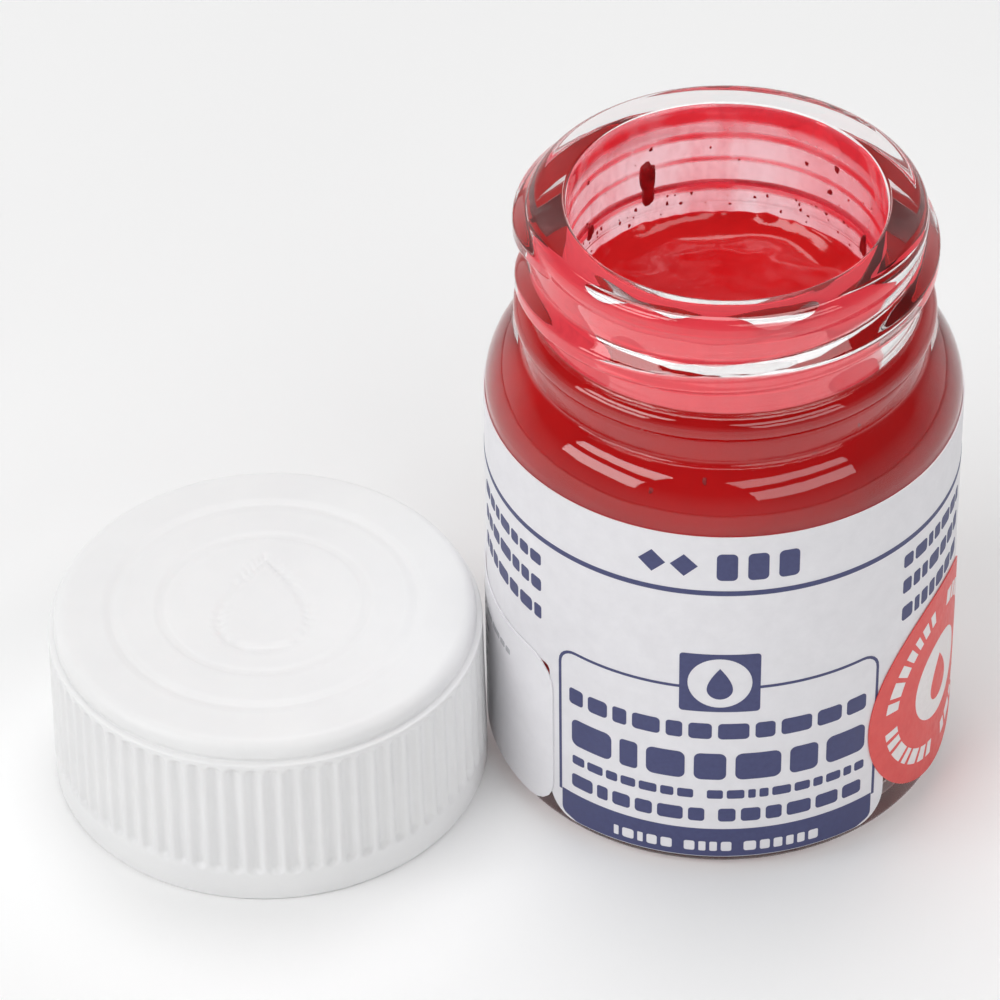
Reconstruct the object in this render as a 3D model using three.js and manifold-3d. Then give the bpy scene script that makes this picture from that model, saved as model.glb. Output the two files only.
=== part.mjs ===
// A small glass jar of gouache, standing open, with its ribbed screw cap upright beside it.
//
// Millimetres, +Z up. The origin is under the middle of the pair, on the surface they stand on.
// Each piece is modelled about its own vertical axis; angles are turns about that axis, counted
// from the front (-Y) towards the right (+X).
import * as THREE from 'three';
import { mergeVertices } from 'three/addons/utils/BufferGeometryUtils.js';
import Module from 'manifold-3d';

const wasm = await Module();
wasm.setup();

// ---------------------------------------------------------------- driving dimensions

const JAR_FACETS = 48;
const CAP_RIBS = 72; // also the number of facets round the cap

// Glass jar, outside
const BODY_R = 15.55;
const JAR_H = 43.6;
const HEEL_R = 0.9; // rounding between the wall and the foot
const FOOT_INNER_R = 11.4; // the flat ring it stands on starts here
const PUSH_UP = 0.8; // hollow under the base, inside the foot ring
const FOOT_FLAT_R = 14.1; // outside this the foot ring is knurled
const KNURL_DEPTH = 0.12; // every second facet corner of the ring's outer edge is this much higher
const BODY_TOP_Z = 29.3; // the straight wall ends and the shoulder starts
const SHOULDER_TOP_Z = 32.6;
const SHOULDER_POWER = 1.6; // 2 would be an ellipse; less is flatter halfway up
const NECK_ROOT_R = 13.2;
const BEAD_R = 13.65; // round ring under the thread
const BEAD_LOW_Z = 34.3;
const BEAD_HIGH_Z = 36.3;
const NECK_R = 12.7;
const LIP_R = 12.85;
const LIP_ROUND = 0.8; // rounding of the rim's outer edge

// Glass jar, inside
const BORE_R = 10.22;
const BORE_ROUND = 0.3;
const INNER_R = 12.8;
const FLOOR_Z = 1.8;
const FLOOR_ROUND = 1.6;
const INNER_SHOULDER_LOW_Z = 26.6;
const INNER_SHOULDER_HIGH_Z = 34.8;

// Screw thread of the neck and, the other way in, of the cap
const PITCH = 3.6;
const THREAD_CREST_R = 13.65;
const THREAD_FRONT_Z = 39.3; // height of the ridge where it passes the front
const THREAD_START_TURN = -0.3; // turns from the front, counted up the thread
const THREAD_END_TURN = 0.83;
const THREAD_ROOT_WIDTH = 2.5;
const THREAD_CREST_WIDTH = 1.3;
const THREAD_FADE = 0.08; // turns over which either end runs out

// Paint
const PAINT_Z = 34.6; // level of the paint, just inside the neck
const PAINT_GAP = 0.05;

// Paper label round the body, with a lower panel at the front
const LABEL_INNER_R = 15.59;
const PAPER = 0.08;
const LABEL_TURN = -3; // degrees: the label's middle sits a little left of the front
const LABEL_TOP_Z = 28.7;
const BAND_LOW_Z = 13.6;
const PANEL_LOW_Z = 0.95;
const PANEL_WIDTH = 24.4; // measured round the wall
const PANEL_CORNER_R = 2.2;
const SEAM_GAP = 0.5; // between the band's two ends, at the back

// Stickers over the label
const STICKER_INNER_R = 15.71;
const SIDE_LABEL_RIGHT = -46.5; // degrees
const SIDE_LABEL_WIDTH = 21;
const SIDE_LABEL_LOW_Z = 0.95;
const SIDE_LABEL_HIGH_Z = 14; // just over the lower edge of the wrap label
const SIDE_LABEL_CORNER_R = 2.4;
const ROUND_STICKER_ANGLE = 65;
const ROUND_STICKER_Z = 8.9;
const ROUND_STICKER_R = 7.9;

// Screw cap
const CAP_R = 14.65; // at the smooth band round its mouth
const CAP_H = 13.25;
const CAP_BAND_H = 2;
const CAP_RIBS_TOP_Z = 11.85;
const CAP_RIBS_TOP_R = 14.5;
const CAP_EDGE_R = 14.1; // where the rounded top edge starts
const CAP_EDGE_ROUND = 0.9;
const RIB_GROOVE_W = 0.74;
const RIB_GROOVE_DEPTH = 0.22;
const RIB_GROOVE_END_GAP = 0.2; // from a groove's ends to the smooth bands
const CAP_BORE_R = 13.85;
const CAP_DEPTH = 10.1; // from the mouth to the ring that keeps the liner in
const CAP_PANEL = 1.5; // thickness of the top
const LINER_RING_R = 13; // the ring's opening, a little smaller than the liner
const CAP_THREAD_CREST_R = 13.1;
const CAP_THREAD_LOW_Z = 3.2;
const CAP_THREAD_TURNS = 1.1;
const CAP_THREAD_ROOT_WIDTH = 1.7;
const CAP_THREAD_CREST_WIDTH = 0.7;
const EMBLEM_DEPTH = 0.15;
const EMBLEM_LINE = 0.45;
const EMBLEM_RINGS_R = [6.9, 10.2];
const DROP_R = 3;

// Sealing liner inside the cap
const LINER_R = 13.25;
const LINER_H = 1.2;
const LINER_GAP = 0.1; // above and below it, and round it in its recess

// Where the two stand: distance between their axes, and the cap's direction from the jar
const AXIS_DISTANCE = 30.66;
const CAP_FORWARD = 3.5;

const CAP_X = -Math.sqrt(AXIS_DISTANCE ** 2 - CAP_FORWARD ** 2);
const CAP_Y = -CAP_FORWARD;

// ---------------------------------------------------------------- helpers

const rad = THREE.MathUtils.degToRad;
const DEG_PER_MM = 360 / (2 * Math.PI * LABEL_INNER_R); // round the wall

// A point at a radius and a turn from the front (-Y) towards the right (+X).
function polar(radius, degrees, z) {
  return [radius * Math.sin(rad(degrees)), -radius * Math.cos(rad(degrees)), z];
}

// Profile points along an arc from one angle to another, as [r, z] pairs. 0 degrees is outward.
function arc(centreR, centreZ, radiusR, radiusZ, from, to, steps) {
  const points = [];
  for (let i = 0; i <= steps; i += 1) {
    const angle = rad(from + ((to - from) * i) / steps);
    points.push([centreR + radiusR * Math.cos(angle), centreZ + radiusZ * Math.sin(angle)]);
  }
  return points;
}

// A solid of revolution about Z from [r, z] pairs that run up the outside.
function lathe(profile, facets) {
  const geometry = new THREE.LatheGeometry(profile.map(([r, z]) => new THREE.Vector2(r, z)), facets);
  return geometry.rotateX(Math.PI / 2);
}

// The same geometry with shared vertices merged and the flat triangles at the poles dropped.
function weld(geometry) {
  const bare = geometry.clone();
  bare.deleteAttribute('normal');
  bare.deleteAttribute('uv');
  const merged = mergeVertices(bare, 1e-5);
  const index = [...merged.getIndex().array];
  const kept = [];
  for (let i = 0; i < index.length; i += 3) {
    const [a, b, c] = index.slice(i, i + 3);
    if (a !== b && b !== c && c !== a) kept.push(a, b, c);
  }
  merged.setIndex(kept);
  return merged;
}

function toSolid(geometry) {
  const closed = weld(geometry);
  return new wasm.Manifold(new wasm.Mesh({
    numProp: 3,
    vertProperties: new Float32Array(closed.getAttribute('position').array),
    triVerts: new Uint32Array(closed.getIndex().array),
  }));
}

function toGeometry(solid) {
  const mesh = solid.getMesh();
  const geometry = new THREE.BufferGeometry();
  geometry.setAttribute('position', new THREE.Float32BufferAttribute(mesh.vertProperties, 3));
  geometry.setIndex([...mesh.triVerts]);
  return geometry;
}

// A closed tube through equal rings of [x, y, z] points, with a fan over each end.
function loft(rings) {
  const size = rings[0].length;
  const points = rings.flat();
  const faces = [];
  for (let i = 0; i < rings.length - 1; i += 1) {
    for (let j = 0; j < size; j += 1) {
      const a = i * size + j;
      const b = i * size + ((j + 1) % size);
      faces.push(a, b, b + size, a, b + size, a + size);
    }
  }
  const last = (rings.length - 1) * size;
  for (let j = 1; j < size - 1; j += 1) {
    faces.push(0, j + 1, j);
    faces.push(last, last + j, last + j + 1);
  }
  const geometry = new THREE.BufferGeometry();
  geometry.setAttribute('position', new THREE.Float32BufferAttribute(points.flat(), 3));
  geometry.setIndex(faces);
  return geometry;
}

// A helical ridge, standing out of a wall or into a bore. Its four-sided section runs from the
// buried root to the crest. Its sections lie on the wall's facet edges, and both ends sink into
// the wall over a short stretch.
function helicalRidge({ rootR, crestR, rootWidth, crestWidth, fromTurn, toTurn, zAtFront, facets }) {
  const first = Math.round(fromTurn * facets);
  const last = Math.round(toTurn * facets);
  const rings = [];
  for (let i = first; i <= last; i += 1) {
    const turn = i / facets;
    const rise = Math.min(1, Math.min(i - first, last - i) / (THREAD_FADE * facets));
    const height = Math.sin((rise * Math.PI) / 2);
    const tip = rootR + (crestR - rootR) * height;
    const z = zAtFront + turn * PITCH;
    const root = (rootWidth / 2) * (0.4 + 0.6 * height);
    const crest = (crestWidth / 2) * (0.4 + 0.6 * height);
    const section = [[rootR, z + root], [tip, z + crest], [tip, z - crest], [rootR, z - root]];
    if (crestR < rootR) section.reverse();
    rings.push(section.map(([r, level]) => polar(r, turn * 360, level)));
  }
  return loft(rings);
}

// A thin sheet wrapped on the wall. Each column is a turn with the sheet's low and high edge there.
function wrappedSheet(innerR, thickness, columns) {
  const outerR = innerR + thickness;
  return loft(columns.map(({ turn, low, high }) => [
    polar(innerR, turn, low),
    polar(innerR, turn, high),
    polar(outerR, turn, high),
    polar(outerR, turn, low),
  ]));
}

// Turns from one side to the other, at every facet edge of the jar's wall and at both ends.
function turnsBetween(from, to) {
  const step = 360 / JAR_FACETS;
  const turns = [from];
  for (let turn = (Math.floor(from / step) + 1) * step; turn < to - 0.2; turn += step) {
    if (turn > from + 0.2) turns.push(turn);
  }
  turns.push(to);
  return turns;
}

// How far a round corner of the given radius pulls an edge in, at a distance from the sheet's end.
function cornerInset(distance, radius) {
  const reach = Math.min(Math.max(distance, 0), radius);
  return radius - Math.sqrt(radius ** 2 - (radius - reach) ** 2);
}

// ---------------------------------------------------------------- the glass jar

// The shoulder's profile, from the wall up to the neck: a quarter of a superellipse.
function shoulder() {
  const points = [];
  const steps = 6;
  for (let i = 0; i <= steps; i += 1) {
    const angle = (i / steps) * (Math.PI / 2);
    const out = Math.abs(Math.cos(angle)) ** (2 / SHOULDER_POWER);
    const up = Math.sin(angle) ** (2 / SHOULDER_POWER);
    points.push([
      NECK_ROOT_R + (BODY_R - NECK_ROOT_R) * out,
      BODY_TOP_Z + (SHOULDER_TOP_Z - BODY_TOP_Z) * up,
    ]);
  }
  return points;
}

function jarOutside() {
  return [
    [0, PUSH_UP],
    [FOOT_INNER_R - 1, PUSH_UP],
    [FOOT_INNER_R, 0],
    [FOOT_FLAT_R, 0],
    ...arc(BODY_R - HEEL_R, HEEL_R, HEEL_R, HEEL_R, -90, 0, 3),
    ...shoulder(),
    [NECK_ROOT_R, BEAD_LOW_Z - 0.6],
    [BEAD_R - 0.1, BEAD_LOW_Z],
    [BEAD_R, (BEAD_LOW_Z + BEAD_HIGH_Z) / 2 - 0.2],
    [BEAD_R - 0.25, BEAD_HIGH_Z - 0.3],
    [NECK_R, BEAD_HIGH_Z + 0.4],
    [NECK_R, JAR_H - LIP_ROUND - 0.8],
    ...arc(LIP_R - LIP_ROUND, JAR_H - LIP_ROUND, LIP_ROUND, LIP_ROUND, 0, 90, 3),
  ];
}

// The wall's inner face, from the bore down to the middle of the floor, moved in by a clearance.
function jarInside(clearance) {
  const middle = (BORE_R + INNER_R) / 2;
  const half = (INNER_R - BORE_R) / 2;
  const points = [];
  const steps = 6;
  for (let i = 0; i <= steps; i += 1) {
    const share = i / steps;
    const z = INNER_SHOULDER_HIGH_Z + (INNER_SHOULDER_LOW_Z - INNER_SHOULDER_HIGH_Z) * share;
    points.push([middle - half * Math.cos(share * Math.PI) - clearance, z]);
  }
  const cornerR = INNER_R - FLOOR_ROUND;
  points.push(...arc(cornerR, FLOOR_Z + FLOOR_ROUND, FLOOR_ROUND - clearance, FLOOR_ROUND - clearance, 0, -90, 3));
  points.push([0, FLOOR_Z + clearance]);
  return points;
}

function jarThread() {
  return helicalRidge({
    rootR: NECK_R - 0.4,
    crestR: THREAD_CREST_R,
    rootWidth: THREAD_ROOT_WIDTH,
    crestWidth: THREAD_CREST_WIDTH,
    fromTurn: THREAD_START_TURN,
    toTurn: THREAD_END_TURN,
    zAtFront: THREAD_FRONT_Z,
    facets: JAR_FACETS,
  });
}

// The lathed jar, with the outer edge of its foot ring cut into short pads.
function jarBody() {
  const mouth = [[BORE_R + BORE_ROUND, JAR_H], [BORE_R, JAR_H - BORE_ROUND]];
  const profile = [...jarOutside(), ...mouth, ...jarInside(0)];
  const body = lathe(profile, JAR_FACETS);
  const heelStart = profile.findIndex(([r]) => r > FOOT_FLAT_R);
  for (let column = 1; column < JAR_FACETS; column += 2) {
    body.getAttribute('position').setZ(column * profile.length + heelStart, KNURL_DEPTH);
  }
  return body;
}

function glassJar() {
  return toGeometry(toSolid(jarBody()).add(toSolid(jarThread())));
}

// ---------------------------------------------------------------- the paint

// The paint's level lies part of the way up the inner shoulder, so its rim is found there.
function paintFill() {
  const wall = jarInside(PAINT_GAP);
  const below = wall.filter(([, z]) => z < PAINT_Z);
  const above = wall[wall.length - below.length - 1];
  const share = (PAINT_Z - below[0][1]) / (above[1] - below[0][1]);
  const rimR = below[0][0] + (above[0] - below[0][0]) * share;
  const upwards = below.reverse();
  return weld(lathe([...upwards, [rimR, PAINT_Z], [0, PAINT_Z]], JAR_FACETS));
}

// ---------------------------------------------------------------- labels

// One sheet: a band all round, and a lower panel at the front with round lower corners.
function wrapLabel() {
  const seam = (SEAM_GAP / 2) * DEG_PER_MM;
  const half = (PANEL_WIDTH / 2) * DEG_PER_MM;
  const left = LABEL_TURN - half;
  const right = LABEL_TURN + half;
  const corner = PANEL_CORNER_R * DEG_PER_MM;
  const cornerTurns = [0, 0.12, 0.35, 0.65, 1].map((share) => share * corner);
  const columns = [];
  const add = (turn, low) => columns.push({ turn, low, high: LABEL_TOP_Z });
  const addPanel = (turn) => {
    const fromEnd = Math.min(turn - left, right - turn) / DEG_PER_MM;
    add(turn, PANEL_LOW_Z + cornerInset(fromEnd, PANEL_CORNER_R));
  };
  turnsBetween(-180 + seam, left - 0.1).forEach((turn) => add(turn, BAND_LOW_Z));
  cornerTurns.forEach((turn) => addPanel(left + turn));
  turnsBetween(left + corner + 0.5, right - corner - 0.5).forEach(addPanel);
  [...cornerTurns].reverse().forEach((turn) => addPanel(right - turn));
  turnsBetween(right + 0.1, 180 - seam).forEach((turn) => add(turn, BAND_LOW_Z));
  return wrappedSheet(LABEL_INNER_R, PAPER, columns);
}

// Plain sticker with round corners, left of the panel.
function sideLabel() {
  const right = SIDE_LABEL_RIGHT;
  const left = right - SIDE_LABEL_WIDTH * DEG_PER_MM;
  const corner = SIDE_LABEL_CORNER_R * DEG_PER_MM;
  const cornerTurns = [0, 0.12, 0.35, 0.65].map((share) => share * corner);
  const turns = [
    ...cornerTurns.map((turn) => left + turn),
    ...turnsBetween(left + corner, right - corner),
    ...cornerTurns.map((turn) => right - turn).reverse(),
  ];
  const columns = turns.map((turn) => {
    const inset = cornerInset(Math.min(turn - left, right - turn) / DEG_PER_MM, SIDE_LABEL_CORNER_R);
    return { turn, low: SIDE_LABEL_LOW_Z + inset, high: SIDE_LABEL_HIGH_Z - inset };
  });
  return wrappedSheet(STICKER_INNER_R, PAPER, columns);
}

// Round sticker, right of the panel. Its ends stop where the disc is still a short edge high.
function roundSticker() {
  const steps = 20;
  const columns = [];
  for (let i = 0; i <= steps; i += 1) {
    const across = -Math.cos((Math.PI * (i + 0.3)) / (steps + 0.6)) * ROUND_STICKER_R;
    const half = Math.sqrt(ROUND_STICKER_R ** 2 - across ** 2);
    const turn = ROUND_STICKER_ANGLE + across * DEG_PER_MM;
    columns.push({ turn, low: ROUND_STICKER_Z - half, high: ROUND_STICKER_Z + half });
  }
  return wrappedSheet(STICKER_INNER_R, PAPER, columns);
}

// ---------------------------------------------------------------- the screw cap

function capOutside() {
  return [
    [0, 0],
    [CAP_R - 0.2, 0],
    [CAP_R, 0.3],
    [CAP_R, CAP_BAND_H],
    [CAP_RIBS_TOP_R, CAP_RIBS_TOP_Z],
    ...arc(CAP_EDGE_R - CAP_EDGE_ROUND, CAP_H - CAP_EDGE_ROUND, CAP_EDGE_ROUND, CAP_EDGE_ROUND, 0, 90, 3),
    [0, CAP_H],
  ];
}

// The hollow: the threaded bore, the liner's ring and the recess above the ring.
function capHollow() {
  const panelZ = CAP_H - CAP_PANEL;
  const recessR = LINER_R + LINER_GAP;
  return [
    [0, -1],
    [CAP_BORE_R, -1],
    [CAP_BORE_R, CAP_DEPTH - 0.5],
    [LINER_RING_R, CAP_DEPTH - 0.3],
    [LINER_RING_R, CAP_DEPTH],
    [recessR, CAP_DEPTH + 0.2],
    [recessR, panelZ],
    [0, panelZ],
  ];
}

// A groove between two ribs: a flat cutter with round ends, pressed into the wall from outside.
function ribGroove(turn) {
  const half = RIB_GROOVE_W / 2;
  const low = CAP_BAND_H + RIB_GROOVE_END_GAP + half;
  const high = CAP_RIBS_TOP_Z - RIB_GROOVE_END_GAP - half;
  const outline = [...arc(0, high, half, half, 0, 180, 3), ...arc(0, low, half, half, 180, 360, 3)];
  const shape = new THREE.Shape(outline.map(([x, y]) => new THREE.Vector2(x, y)));
  const cutter = new THREE.ExtrudeGeometry(shape, { depth: 2, bevelEnabled: false });
  const slope = Math.atan2(CAP_R - CAP_RIBS_TOP_R, CAP_RIBS_TOP_Z - CAP_BAND_H);
  cutter.rotateX(Math.PI / 2);
  cutter.translate(0, 0, -CAP_BAND_H);
  cutter.rotateX(-slope);
  cutter.translate(0, RIB_GROOVE_DEPTH - CAP_R * Math.cos(Math.PI / CAP_RIBS), CAP_BAND_H);
  cutter.rotateZ(rad(turn));
  return toSolid(cutter);
}

function dropOutline(radius) {
  const shape = new THREE.Shape();
  shape.moveTo(0, radius * 2.1);
  shape.quadraticCurveTo(radius, radius * 0.8, radius, 0);
  shape.absarc(0, 0, radius, 0, -Math.PI, true);
  shape.quadraticCurveTo(-radius, radius * 0.8, 0, radius * 2.1);
  return shape;
}

function emblemRing(radius) {
  const floor = CAP_H - EMBLEM_DEPTH;
  const outer = radius + EMBLEM_LINE / 2;
  const inner = radius - EMBLEM_LINE / 2;
  const circle = [[inner, floor], [outer, floor], [outer, CAP_H + 1], [inner, CAP_H + 1], [inner, floor]];
  return toSolid(lathe(circle, CAP_RIBS / 2));
}

// Shallow sunk lines on the top: two circles, and a paint drop inside them.
function topEmblem() {
  const drop = dropOutline(DROP_R + EMBLEM_LINE / 2);
  drop.holes.push(new THREE.Path(dropOutline(DROP_R - EMBLEM_LINE / 2).getPoints(4).reverse()));
  const dropCutter = new THREE.ExtrudeGeometry(drop, { depth: 1, bevelEnabled: false, curveSegments: 4 });
  dropCutter.translate(0, -DROP_R * 0.55, CAP_H - EMBLEM_DEPTH);
  return EMBLEM_RINGS_R.reduce((lines, radius) => lines.add(emblemRing(radius)), toSolid(dropCutter));
}

function capThread() {
  return helicalRidge({
    rootR: CAP_BORE_R + 0.3,
    crestR: CAP_THREAD_CREST_R,
    rootWidth: CAP_THREAD_ROOT_WIDTH,
    crestWidth: CAP_THREAD_CREST_WIDTH,
    fromTurn: 0,
    toTurn: CAP_THREAD_TURNS,
    zAtFront: CAP_THREAD_LOW_Z,
    facets: CAP_RIBS / 2,
  });
}

function screwCap() {
  let cap = toSolid(lathe(capOutside(), CAP_RIBS)).subtract(toSolid(lathe(capHollow(), CAP_RIBS)));
  cap = cap.add(toSolid(capThread()));
  for (let i = 0; i < CAP_RIBS; i += 1) {
    cap = cap.subtract(ribGroove(((i + 0.5) * 360) / CAP_RIBS));
  }
  return toGeometry(cap.subtract(topEmblem()));
}

// ---------------------------------------------------------------- the sealing liner

function capLiner() {
  const low = CAP_DEPTH + LINER_GAP + 0.2;
  const high = low + LINER_H;
  return weld(lathe([[0, low], [LINER_R - 0.1, low], [LINER_R, low + 0.1], [LINER_R, high], [0, high]], CAP_RIBS / 2));
}

// ---------------------------------------------------------------- materials and assembly

function finish(color, roughness, extra = {}) {
  return new THREE.MeshStandardMaterial({ color, roughness, metalness: 0, ...extra });
}

function piece(name, geometry, material) {
  const mesh = new THREE.Mesh(geometry, material);
  mesh.name = name;
  return mesh;
}

const paper = finish(0xe6e4ea, 0.6);

const jar = new THREE.Group();
jar.add(
  piece('glass_jar', glassJar(), finish(0xdfe6e4, 0.03, { transparent: true, opacity: 0.35 })),
  piece('paint_fill', paintFill(), finish(0xc4161a, 0.25)),
  piece('wrap_label', wrapLabel(), paper),
  piece('side_label', sideLabel(), finish(0xecebf0, 0.5)),
  piece('round_sticker', roundSticker(), finish(0xe2504c, 0.45)),
);

const cap = new THREE.Group();
cap.position.set(CAP_X, CAP_Y, 0);
cap.add(
  piece('screw_cap', screwCap(), finish(0xf0f0ef, 0.45)),
  piece('cap_liner', capLiner(), finish(0xf4f4f0, 0.7)),
);

// The jar's axis is placed so that the pair's box is centred on the origin.
const boxMin = [CAP_X - CAP_R, CAP_Y - CAP_R];
const boxMax = [STICKER_INNER_R + PAPER, LABEL_INNER_R + PAPER];
const pair = new THREE.Group();
pair.position.set(-(boxMin[0] + boxMax[0]) / 2, -(boxMin[1] + boxMax[1]) / 2, 0);
pair.add(jar, cap);

const paintJar = new THREE.Group();
paintJar.add(pair);

export default paintJar;
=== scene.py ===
"""A small glass jar of scarlet gouache, standing open beside its ribbed screw cap.

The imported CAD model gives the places: each piece stands on the axis of its CAD node.
Lengths are millimetres, and angles are degrees counted from the front (-Y) towards the
right (+X). Only add_piece() and the camera and light code turn them into Blender's metres.
"""

import math
import random

import bmesh
import bpy
import numpy as np
from mathutils import Matrix, Vector, noise
from mathutils.geometry import tessellate_polygon


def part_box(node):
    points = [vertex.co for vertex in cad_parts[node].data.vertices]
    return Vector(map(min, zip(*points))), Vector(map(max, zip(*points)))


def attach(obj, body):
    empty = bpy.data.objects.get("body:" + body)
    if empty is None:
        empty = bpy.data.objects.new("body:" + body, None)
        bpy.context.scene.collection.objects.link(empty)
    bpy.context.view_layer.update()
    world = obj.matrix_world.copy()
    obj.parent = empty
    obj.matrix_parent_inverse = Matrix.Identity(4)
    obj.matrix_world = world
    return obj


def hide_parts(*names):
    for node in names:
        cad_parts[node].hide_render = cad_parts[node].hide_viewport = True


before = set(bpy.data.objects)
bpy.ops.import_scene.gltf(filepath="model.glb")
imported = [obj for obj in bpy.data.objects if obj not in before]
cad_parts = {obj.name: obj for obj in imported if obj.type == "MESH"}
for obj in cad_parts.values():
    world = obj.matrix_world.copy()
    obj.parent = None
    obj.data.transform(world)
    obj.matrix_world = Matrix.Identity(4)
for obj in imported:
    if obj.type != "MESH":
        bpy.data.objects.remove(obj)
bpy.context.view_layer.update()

MM = 0.001


def axis_of(node):
    """The point on the floor under a round CAD node, in metres."""
    low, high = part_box(node)
    return Vector(((low.x + high.x) / 2, (low.y + high.y) / 2, 0))


def half_width(node):
    low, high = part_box(node)
    return (high.x - low.x) / 2 / MM


# ------------------------------ sizes, from the CAD nodes

JAR_AXIS = axis_of("glass_jar")
BODY_R = half_width("glass_jar")
JAR_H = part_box("glass_jar")[1].z / MM
CAP_AXIS = axis_of("screw_cap")
CAP_R = half_width("screw_cap")
CAP_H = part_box("screw_cap")[1].z / MM
LINER_LOW_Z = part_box("cap_liner")[0].z / MM
LINER_HIGH_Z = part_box("cap_liner")[1].z / MM
LINER_R = half_width("cap_liner")

# Glass jar, outside
HEEL_R = 0.9
FOOT_INNER_R = 11.4
PUSH_UP = 0.8
BODY_TOP_Z = 29.3
SHOULDER_TOP_Z = 32.6
SHOULDER_POWER = 1.6  # of its superellipse; 2 would be an ellipse
SHOULDER_END = 86  # degrees along the superellipse; the neck's root takes over there
NECK_ROOT_R = 13.2
BEAD_R = 13.65
BEAD_LOW_Z = 34.3
BEAD_HIGH_Z = 36.3
NECK_R = 12.7
LIP_R = 12.85
LIP_ROUND = 0.8
GLASS_COLUMNS = 288

# Glass jar, inside
BORE_R = 10.22
BORE_ROUND = 0.3
INNER_R = 12.8
FLOOR_Z = 1.8
FLOOR_ROUND = 1.6
INNER_SHOULDER_LOW_Z = 26.6
INNER_SHOULDER_HIGH_Z = 34.8

# Thread of the neck
PITCH = 3.6
THREAD_CREST_R = 13.65
THREAD_FRONT_Z = 39.3
THREAD_START_TURN = -0.3  # in whole turns from the front
THREAD_END_TURN = 0.83
THREAD_ROOT_WIDTH = 2.6
THREAD_CREST_WIDTH = 1
THREAD_FADE = 0.08  # in whole turns, at each end

# Paint
PAINT_Z = 33.35  # in the middle; the edge climbs the glass by the meniscus
WETTING = 0.05  # how far the paint reaches into the glass, so that no air lies between
MENISCUS = 1.6
MENISCUS_W = 1.2  # the distance in from the glass in which it falls to about a third
EDGE_RAGGED = 0.22
FILM_TOP_Z = JAR_H - 0.06
FILM_DROP = 1.1  # how much lower the film ends at the front
FILM_GAP = 0.01  # between the film and the glass, where it doesn't touch
FILM_THICKNESS = 0.03
FILM_SINK = 0.07  # how much further out the film lies in the patches where it touches

# Flakes of dried paint on the inside of the neck: angle, height, width, length, thickness, seed
FLAKES = [
    (207.5, 38.2, 1.15, 3.3, 0.2, 5),
    (237, 36.9, 0.7, 1.1, 0.14, 3),
    (116, 36.3, 0.7, 1.7, 0.16, 4),
    (133, 40.6, 0.35, 0.5, 0.1, 6),
    (136, 38.5, 0.4, 0.35, 0.1, 7),
]
SPECKS = 70
SPECKS_HIGH_UP = 22  # of them may lie anywhere up the neck; the others lie just above the paint

# Lumps of pigment that show through the shoulder, as (angle, height)
SHOULDER_LUMPS = [(-54, 31.6), (-38, 30.4), (-23, 29.2), (-8, 30), (43, 32.3), (5, 31.1), (26, 31.2)]

# Labels, unrolled: s is millimetres round the paper from the front, to the right
PAPER = 0.08
LABEL_INNER_R = 15.59
PAPER_R = LABEL_INNER_R + PAPER
LABEL_TURN = -3
LABEL_TOP_Z = 28.7
BAND_LOW_Z = 13.6
PANEL_LOW_Z = 0.95
PANEL_WIDTH = 24.4
PANEL_CORNER_R = 2.2
SEAM_GAP = 0.5
STICKER_INNER_R = 15.71
STICKER_OUTER_R = STICKER_INNER_R + PAPER
SIDE_LABEL_RIGHT_TURN = -46.5
SIDE_LABEL_WIDTH = 21
SIDE_LABEL_LOW_Z = 0.95
SIDE_LABEL_TOP_Z = 14
SIDE_LABEL_CORNER_R = 2.4
ROUND_STICKER_TURN = 65
ROUND_STICKER_Z = 8.9
ROUND_STICKER_R = 7.9
INK = 0.02
INK_BITE = 0.004  # how far the ink's underside lies in the paper
STRIP = 0.4  # width of the strips that a wrapped sheet is bent in

# Cap
CAP_RIBS = 72
RIB_OFFSETS = (0, 0.14, 0.22, 0.33, 0.5, 0.67, 0.78, 0.86)  # columns of points in one rib's width
CAP_BAND_H = 2
CAP_RIBS_TOP_Z = 11.85
CAP_RIBS_TOP_R = 14.5
CAP_EDGE_R = 14.1
CAP_EDGE_ROUND = 0.9
RIB_GROOVE_W = 1.22
RIB_GROOVE_DEPTH = 0.42
RIB_GROOVE_END_GAP = 0.2
CAP_BORE_R = 13.85
CAP_DEPTH = 10.1
CAP_PANEL = 1.5
LINER_RING_R = 13
CAP_THREAD_CREST_R = 13.1
CAP_THREAD_LOW_Z = 3.2
CAP_THREAD_TURNS = 1.1
CAP_THREAD_ROOT_WIDTH = 1.7
CAP_THREAD_CREST_WIDTH = 0.7
EMBLEM_DEPTH = 0.15
EMBLEM_LINE = 0.45
EMBLEM_SOFT = 0.12  # each way from a line's edge
EMBLEM_RINGS_R = (6.9, 10.2)
DROP_R = 3


# ------------------------------ mesh helpers

def arc(centre_r, centre_z, radius_r, radius_z, start, end, steps):
    """Points along an arc, as pairs. 0 degrees is outward, or to the right."""
    angles = [math.radians(start + (end - start) * i / steps) for i in range(steps + 1)]
    return [(centre_r + radius_r * math.cos(a), centre_z + radius_z * math.sin(a)) for a in angles]


def rounded(corners, steps=6):
    """A path through (x, y) or (x, y, radius) corners, with each radius turned into an arc."""
    points = []
    for i, corner in enumerate(corners):
        radius = corner[2] if len(corner) > 2 else 0
        here = Vector(corner[:2])
        if radius == 0 or i == 0 or i == len(corners) - 1:
            points.append(tuple(here))
            continue
        back = (Vector(corners[i - 1][:2]) - here).normalized()
        on = (Vector(corners[i + 1][:2]) - here).normalized()
        half = back.angle(on) / 2
        centre = here + (back + on).normalized() * radius / math.sin(half)
        first = here + back * radius / math.tan(half) - centre
        last = here + on * radius / math.tan(half) - centre
        sweep = math.pi - 2 * half
        for step in range(steps + 1):
            t = step / steps
            spoke = first * math.sin((1 - t) * sweep) + last * math.sin(t * sweep)
            points.append(tuple(centre + spoke / math.sin(sweep)))
    return points


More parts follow.
